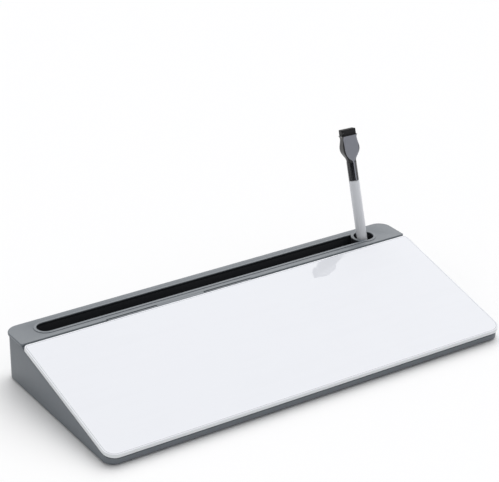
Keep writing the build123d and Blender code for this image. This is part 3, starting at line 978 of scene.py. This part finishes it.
@dataclass
class Cap(SubAssembly):
    """Cap of the marker: gloss black shell, a grey shield of painted reflection on its flat front facet and
    an eraser in its end.
    """

    turn: float = radians(7.0)
    plug_radius: float = 4.6 * MM
    plug_chamfer: float = 0.8 * MM
    shell_end: float = 122.1 * MM
    felt_half_width: float = 7.2 * MM
    felt_half_depth: float = 3.45 * MM
    felt_sink: float = 1.5 * MM
    felt_end: float = 127.6 * MM
    felt_edge: float = 0.7 * MM
    felt_cuts: int = 14
    fuzz: float = 0.09 * MM
    fuzz_seed: int = 11
    shield_front: float = 9.0 * MM
    shield_thickness: float = 0.18 * MM
    shield_lift: float = 0.03 * MM
    shield_rows: int = 72
    shield_columns: int = 12
    shield_outline: Tuple[Tuple[float, float], ...] = (
        (79.6, 0.55), (97.0, 0.65), (98.2, 1.1), (99.4, 2.5), (100.8, 3.9), (103.4, 5.6),
        (106.0, 6.6), (109.0, 7.15), (112.5, 7.25), (117.0, 7.05), (121.7, 6.8),
    )

    def place(self) -> Matrix:
        """Work out the marker's own frame from its slide and its packed end plug.

        Returns:
            The frame, with Z along the marker from its lower end and -Y to its front.
        """
        pull = next(joint for joint in frame["joints"] if joint["name"] == "cap_pull")
        axis = Vector(pull["axis"]).normalized()
        low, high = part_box("marker_end_plug")
        foot_y = low[1] + self.plug_radius * axis.z - self.plug_chamfer * axis.y
        foot_z = low[2] + (self.plug_radius - self.plug_chamfer) * axis.y
        foot = Vector(((low[0] + high[0]) / 2, foot_y, foot_z))
        back = Vector((0.0, axis.z, -axis.y))
        side = Vector((1.0, 0.0, 0.0))
        upright = Matrix((side, back, axis)).transposed().to_4x4()
        return Matrix.Translation(foot) @ upright @ Matrix.Rotation(-self.turn, 4, "Z")

    def build_felt(self) -> None:
        """Model the pressed felt block with soft edges and a fuzzy surface."""
        half_width, half_depth = self.felt_half_width, self.felt_half_depth
        low = (-half_width, -half_depth, self.shell_end - self.felt_sink)
        piece = start_block("eraser_felt_block", low, (half_width, half_depth, self.felt_end))
        choose_edges(lambda edge: True)
        bpy.ops.mesh.bevel(offset=self.felt_edge, segments=RIM_STEPS, affect="EDGES")
        bpy.ops.mesh.select_all(action="SELECT")
        bpy.ops.mesh.subdivide(number_cuts=self.felt_cuts)
        bpy.ops.transform.vertex_random(offset=self.fuzz, seed=self.fuzz_seed)
        settle(piece, self.place(), FELT_SMOOTH_ANGLE)
        self.adopt(piece, ["eraser_felt"], ERASER_FELT)

    def half_width(self, station: float) -> float:
        """Return half the width of the shield at a place along the marker.

        Args:
            station: Distance from the marker's lower end, in millimetres.

        Returns:
            Half the width in millimetres.
        """
        points = self.shield_outline
        for (start, wide), (end, next_wide) in zip(points, points[1:]):
            if station <= end:
                share = max(0.0, (station - start) / (end - start))
                return wide + (next_wide - wide) * share
        return points[-1][1]

    def build_shield(self, shell: bpy.types.Object) -> None:
        """Lay the grey shield, with its thin tail down the neck, on the front of the cap as a painted
        reflection of the bright surroundings in the cap's gloss black facet.

        Args:
            shell: The cap's shell, which it follows.
        """
        deselect_all()
        bpy.ops.mesh.primitive_grid_add(
            x_subdivisions=self.shield_columns,
            y_subdivisions=self.shield_rows,
            size=1.0,
            location=(0.0, 0.0, 0.0),
        )
        piece = open_piece("cap_painted_reflection")
        start, end = self.shield_outline[0][0], self.shield_outline[-1][0]
        shape = bmesh.from_edit_mesh(piece.data)
        for corner in shape.verts:
            station = start + (end - start) * (corner.co.y + 0.5)
            across = 2.0 * corner.co.x * self.half_width(station)
            corner.co = Vector((across * MM, -self.shield_front, station * MM))
        bmesh.update_edit_mesh(piece.data)
        bpy.ops.object.mode_set(mode="OBJECT")
        piece.matrix_world = self.place()
        pick(piece)
        wrap = piece.modifiers.new("follow_cap", "SHRINKWRAP")
        wrap.wrap_method = "PROJECT"
        wrap.target = shell
        wrap.use_project_y = True
        wrap.use_positive_direction = True
        wrap.use_negative_direction = False
        wrap.offset = self.shield_lift
        bpy.ops.object.modifier_apply(modifier=wrap.name)
        bpy.ops.object.transform_apply(location=True, rotation=True, scale=True)
        self.thicken(piece)
        # The grey sheet is a painted reflection, not a grey part of the cap.
        self.adopt(piece, [], SHIELD_PAINTED_REFLECTION)

    def thicken(self, piece: bpy.types.Object) -> None:
        """Turn the shield's faces to the front and give it its thickness.

        Args:
            piece: The shield.
        """
        front = -(self.place().to_3x3() @ Vector((0.0, 1.0, 0.0)))
        pick(piece)
        bpy.ops.object.mode_set(mode="EDIT")
        choose_faces(lambda face: face.normal.dot(front) < 0.0)
        bpy.ops.mesh.flip_normals()
        bpy.ops.object.mode_set(mode="OBJECT")
        wall = piece.modifiers.new("thickness", "SOLIDIFY")
        wall.thickness = self.shield_thickness
        wall.offset = 1.0
        bpy.ops.object.modifier_apply(modifier=wall.name)
        bpy.ops.object.shade_smooth_by_angle(angle=SHIELD_SMOOTH_ANGLE)

    def build(self) -> None:
        """Build and dress the cap."""
        shell = self.refine("marker_cap", 0.0, MARKER_BLACK, flat=False)
        self.build_shield(shell)
        self.build_felt()


# Studio


@dataclass
class Studio:
    """Floor, soft light and the camera at the photograph's angle."""

    floor_size: float = 30.0
    floor_colour: Colour = (0.93, 0.93, 0.935)
    world_strength: float = 0.5
    key_direction: Vector = field(default_factory=lambda: Vector((0.42, 0.40, 0.82)))
    key_angle: float = radians(70.0)
    key_strength: float = 2.2
    photo_width: float = 499.0
    photo_height: float = 482.0
    focal_px: float = 1896.81
    centre_px: Tuple[float, float] = (240.403, 226.668)
    yaw: float = radians(32.7741)
    pitch: float = radians(25.0479)
    roll: float = radians(-0.0127)
    camera_place: Vector = field(default_factory=lambda: Vector((-0.80041, -1.22135, 0.80447)))
    sensor: float = 36.0

    def build_floor(self) -> None:
        """Lay the pale floor."""
        deselect_all()
        bpy.ops.mesh.primitive_plane_add(size=self.floor_size, location=(0.0, 0.0, 0.0))
        floor = bpy.context.active_object
        floor.name = "floor"
        material = bpy.data.materials.new("floor_white")
        material.use_nodes = True
        shader = material.node_tree.nodes["Principled BSDF"]
        shader.inputs["Base Color"].default_value = (*self.floor_colour, 1.0)
        shader.inputs["Roughness"].default_value = 0.9
        shader.inputs["Specular IOR Level"].default_value = 0.0
        floor.data.materials.append(material)

    def build_light(self) -> None:
        """Set the even white surroundings and one very wide soft light from above, behind on the right."""
        scene = bpy.context.scene
        world = bpy.data.worlds.new("white_room")
        world.use_nodes = True
        background = world.node_tree.nodes["Background"]
        background.inputs["Color"].default_value = (1.0, 1.0, 1.0, 1.0)
        background.inputs["Strength"].default_value = self.world_strength
        scene.world = world
        scene.view_settings.view_transform = "Standard"
        light = bpy.data.lights.new("key_light", "SUN")
        light.angle = self.key_angle
        light.energy = self.key_strength
        lamp = bpy.data.objects.new("key_light", light)
        lamp.rotation_euler = self.key_direction.to_track_quat("Z", "Y").to_euler()
        scene.collection.objects.link(lamp)

    def build_camera(self) -> None:
        """Place the camera of the photograph."""
        ahead = cos(self.pitch)
        forward = Vector((sin(self.yaw) * ahead, cos(self.yaw) * ahead, -sin(self.pitch)))
        level = Vector((cos(self.yaw), -sin(self.yaw), 0.0))
        upward = level.cross(forward)
        right = level * cos(self.roll) + upward * sin(self.roll)
        above = upward * cos(self.roll) - level * sin(self.roll)
        data = bpy.data.cameras.new("photo_camera")
        data.sensor_fit = "HORIZONTAL"
        data.sensor_width = self.sensor
        data.lens = self.focal_px * self.sensor / self.photo_width
        data.shift_x = (self.photo_width / 2 - self.centre_px[0]) / self.photo_width
        data.shift_y = (self.centre_px[1] - self.photo_height / 2) / self.photo_width
        data.clip_end = 60.0
        camera = bpy.data.objects.new("photo_camera", data)
        turn = Matrix((right, above, -forward)).transposed().to_4x4()
        camera.matrix_world = Matrix.Translation(self.camera_place) @ turn
        bpy.context.scene.collection.objects.link(camera)
        bpy.context.scene.camera = camera

    def build(self) -> None:
        """Build floor, light and camera."""
        self.build_floor()
        self.build_light()
        self.build_camera()


def main() -> None:
    """Build the studio and dress the whiteboard."""
    logging.basicConfig(level=logging.INFO, format="%(name)s: %(message)s")
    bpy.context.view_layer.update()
    Studio().build()
    dresser = Dresser()
    assemblies: List[SubAssembly] = [
        Tray(dresser, Body.TRAY),
        Deck(dresser, Body.TRAY),
        Lid(dresser, Body.LID),
        Marker(dresser, Body.MARKER),
        Cap(dresser, Body.CAP),
    ]
    for assembly in assemblies:
        assembly.build()
        LOG.info("%s done", type(assembly).__name__)
    deselect_all()


if __name__ == "__main__":
    main()
